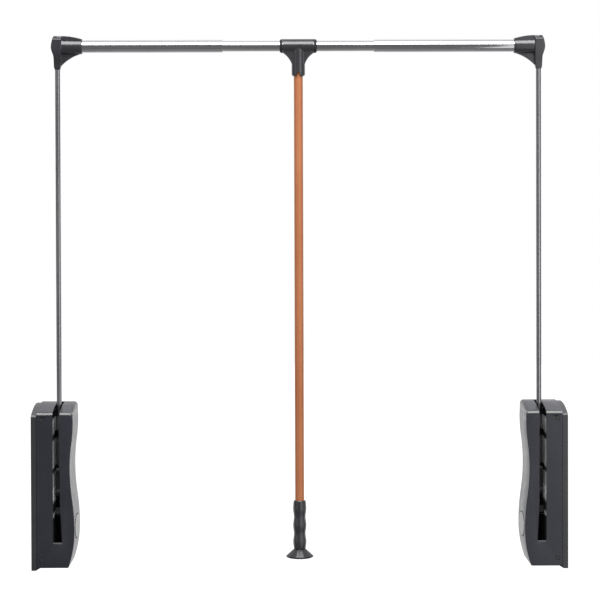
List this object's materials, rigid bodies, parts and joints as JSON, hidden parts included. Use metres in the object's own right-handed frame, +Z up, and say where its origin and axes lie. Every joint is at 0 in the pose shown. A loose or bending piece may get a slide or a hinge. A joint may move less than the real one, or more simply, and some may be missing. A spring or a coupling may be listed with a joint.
{
  "type": "pull-down closet rod",
  "caption": "Pull-down hanging rail: a telescopic rail on sprung swinging arms between wall housings, drawn down by a central pull rod with a shaped grip.",
  "frame": {"origin": "midway between the two walls, at mid depth of the housings, level with the foot of the wall plates", "axes": "+X to the right wall, +Y away from the user towards the wardrobe's back, +Z up"},
  "size_m": [0.83, 0.09, 0.8279],
  "materials": {
    "housing_plastic": "fine-grained dark grey moulding",
    "corner_plastic": "smooth dark grey moulding",
    "grip_plastic": "smooth dark grey moulding",
    "rail_chrome": "bright chrome plated tube",
    "arm_steel": "plated round bar",
    "copper_tube": "satin copper-coloured tube",
    "zinc_casting": "tumbled zinc casting",
    "pressed_steel": "zinc-plated pressing",
    "bright_steel": "bright zinc-plated sheet",
    "spring_steel": "oiled spring wire",
    "damper_paint": "dark painted cylinder",
    "pad_rubber": "black rubber",
    "bush_nylon": "natural nylon"
  },
  "bodies": {
    "left_housing": {"left_wall_plate": "housing_plastic", "left_cover": "housing_plastic", "left_bracket": "pressed_steel", "left_guide_plate": "bright_steel", "left_stop_bars": "pressed_steel", "left_stop_pads": "pad_rubber", "left_axle": "pressed_steel", "left_damper_cylinder": "damper_paint", "left_spring": "spring_steel"},
    "left_frame": {"left_lever_hub": "zinc_casting", "left_hub_bush": "bush_nylon", "left_arm": "arm_steel", "left_elbow": "corner_plastic", "left_rail_tube": "rail_chrome"},
    "left_plunger": {"left_plunger": "pressed_steel", "left_damper_rod": "bright_steel"},
    "inner_rail": {"inner_rail": "rail_chrome", "rail_plugs": "bush_nylon", "tee_collars": "corner_plastic"},
    "handle": {"tee": "corner_plastic", "pull_rod": "copper_tube", "handle_grip": "grip_plastic", "handle_foot": "grip_plastic"},
    "right_frame": {"right_lever_hub": "zinc_casting", "right_hub_bush": "bush_nylon", "right_arm": "arm_steel", "right_elbow": "corner_plastic", "right_rail_tube": "rail_chrome"},
    "right_housing": {"right_wall_plate": "housing_plastic", "right_cover": "housing_plastic", "right_bracket": "pressed_steel", "right_guide_plate": "bright_steel", "right_stop_bars": "pressed_steel", "right_stop_pads": "pad_rubber", "right_axle": "pressed_steel", "right_damper_cylinder": "damper_paint", "right_spring": "spring_steel"},
    "right_plunger": {"right_plunger": "pressed_steel", "right_damper_rod": "bright_steel"}
  },
  "joints": [
    {"name": "lift", "type": "hinge", "parent": "left_housing", "child": "left_frame", "pos_m": [-0.376, 0.004, 0.115], "axis": [1, 0, 0], "range_deg": [0, 135], "stiffness_Nm_per_rad": 3, "springref_deg": -114.59},
    {"name": "left_telescope", "type": "slide", "parent": "left_frame", "child": "inner_rail", "axis": [1, 0, 0], "range_m": [0, 0.16]},
    {"name": "right_telescope", "type": "slide", "parent": "inner_rail", "child": "right_frame", "axis": [1, 0, 0], "range_m": [0, 0.16]},
    {"name": "handle_swing", "type": "hinge", "parent": "inner_rail", "child": "handle", "pos_m": [0, 0.004, 0.812], "axis": [1, 0, 0], "continuous": true},
    {"name": "right_pivot", "type": "hinge", "parent": "right_frame", "child": "right_housing", "pos_m": [0.376, 0.004, 0.115], "axis": [1, 0, 0], "range_deg": [-135, 0]},
    {"name": "left_plunger_slide", "type": "slide", "parent": "left_housing", "child": "left_plunger", "axis": [0, 0, -1], "range_m": [0, 0.02358], "deforming": ["left_spring"]},
    {"name": "right_plunger_slide", "type": "slide", "parent": "right_housing", "child": "right_plunger", "axis": [0, 0, -1], "range_m": [0, 0.02358], "deforming": ["right_spring"]}
  ],
  "couplings": [
    {"joint": "right_pivot", "follows": "lift", "ratio": -1},
    {"joint": "left_plunger_slide", "follows": "lift", "m_per_rad": 0.01},
    {"joint": "right_plunger_slide", "follows": "lift", "m_per_rad": 0.01}
  ]
}
